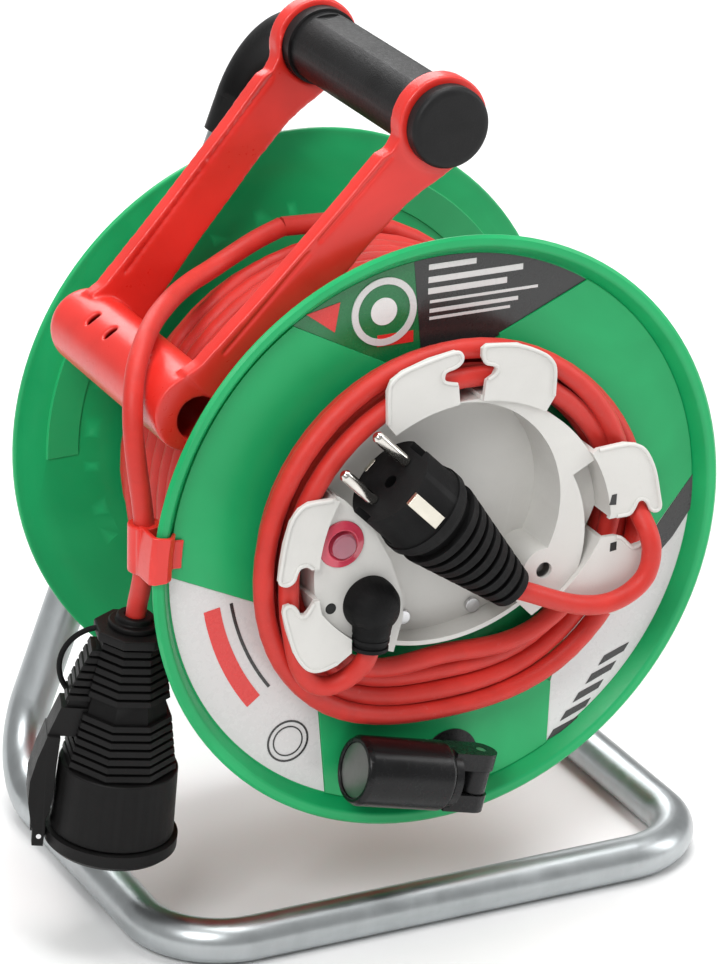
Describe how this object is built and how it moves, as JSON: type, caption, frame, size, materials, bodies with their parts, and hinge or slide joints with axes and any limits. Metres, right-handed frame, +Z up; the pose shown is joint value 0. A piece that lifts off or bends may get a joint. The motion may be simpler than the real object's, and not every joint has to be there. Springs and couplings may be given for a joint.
{
  "type": "extension cord reel",
  "caption": "Portable cable drum on a bent tube stand with carrying grip, cable guide, fold-out crank, plug storage hub and capped rubber coupler.",
  "frame": {"origin": "on the floor, midway across the stand and near the middle plane of the drum, under its axis", "axes": "+Z up, Y along the drum axis with the working face of the drum towards -Y, +X to the right seen from that face"},
  "size_m": [0.2883, 0.2196, 0.346],
  "materials": {
    "galvanised_tube": "bright zinc, satin",
    "steel_plate": "zinc plated",
    "steel_bolt": "zinc plated",
    "steel_screw": "dark zinc",
    "black_plastic": "fine grain",
    "black_gloss": "satin gloss",
    "grip_plastic": "fine grain",
    "red_plastic": "satin gloss",
    "red_cable": "matt rubber-like sheath",
    "green_plastic": "gloss",
    "grey_plastic": "satin",
    "black_rubber": "matt",
    "coupler_rubber": "matt",
    "nylon": "natural",
    "terminal_plastic": "natural",
    "switch_plastic": "matt",
    "bezel_plastic": "clear red",
    "button_plastic": "clear dark red",
    "nickel_pin": "nickel plated",
    "nickel_strip": "nickel plated",
    "brass_contact": "plain",
    "label_dark": "printed film",
    "label_dark_green": "printed film",
    "label_white": "printed film",
    "label_silver": "printed film, silver grey",
    "disc_metal": "turned"
  },
  "bodies": {
    "frame": {"tube_frame": "galvanised_tube", "tube_end_plug": "black_plastic", "hub_plate": "steel_plate", "hub_bolts": "steel_bolt", "axle": "steel_plate", "axle_nuts": "steel_bolt", "grip": "grip_plastic", "grip_cap": "grip_plastic", "bend_sleeve": "black_plastic", "cable_guide": "red_plastic", "cable_clip": "red_plastic", "cable_run": "red_cable", "coupler_body": "coupler_rubber", "coupler_cup": "coupler_rubber", "coupler_collar": "coupler_rubber", "coupler_strap": "coupler_rubber", "coupler_tether": "black_rubber", "coupler_insert": "black_plastic", "coupler_contacts": "brass_contact", "coupler_earth": "nickel_strip", "cap_pin": "steel_bolt"},
    "drum": {"front_flange": "green_plastic", "rear_flange": "green_plastic", "drum_core": "green_plastic", "drum_bushes": "nylon", "flange_screws": "steel_screw", "cable_winding": "red_cable", "storage_hub": "grey_plastic", "storage_flaps": "grey_plastic", "hub_screws": "steel_screw", "thermal_switch": "switch_plastic", "terminal_block": "terminal_plastic", "reset_bezel": "bezel_plastic", "cord_boot": "black_rubber", "supply_coil": "red_cable", "lead_in": "red_cable", "lead_out": "red_cable", "plug_body": "black_rubber", "plug_relief": "black_rubber", "plug_pins": "nickel_pin", "plug_earth": "nickel_strip", "label_top": "label_dark", "label_green": "label_dark_green", "label_emblem": "label_white", "label_right": "label_silver", "label_left": "label_white", "crank_base": "black_gloss", "crank_pin": "steel_bolt"},
    "crank_arm": {"crank_fork": "black_gloss"},
    "crank_handle": {"crank_knob": "black_gloss", "knob_disc": "disc_metal"},
    "button": {"reset_button": "button_plastic"},
    "socket_cap": {"coupler_cap": "coupler_rubber"}
  },
  "joints": [
    {"name": "drum_spin", "type": "hinge", "parent": "frame", "child": "drum", "pos_m": [0, 0, 0.1615], "axis": [0, 1, 0], "continuous": true},
    {"name": "crank_fold", "type": "hinge", "parent": "drum", "child": "crank_arm", "pos_m": [0.01063, -0.08245, 0.05992], "axis": [0.251, 0, 0.968], "range_deg": [0, 90]},
    {"name": "knob_spin", "type": "hinge", "parent": "crank_arm", "child": "crank_handle", "pos_m": [0.01063, -0.08245, 0.05992], "axis": [-0.968, 0, 0.251], "continuous": true},
    {"name": "reset_press", "type": "slide", "parent": "drum", "child": "button", "axis": [0, 1, 0], "range_m": [0, 0.002], "stiffness_N_per_m": 800, "springref_m": -0.001},
    {"name": "cap_hinge", "type": "hinge", "parent": "frame", "child": "socket_cap", "pos_m": [-0.15456, -0.03028, 0.04748], "axis": [0.3352, 0.9415, 0.0335], "range_deg": [0, 9], "stiffness_Nm_per_rad": 0.02, "springref_deg": -34.38}
  ]
}
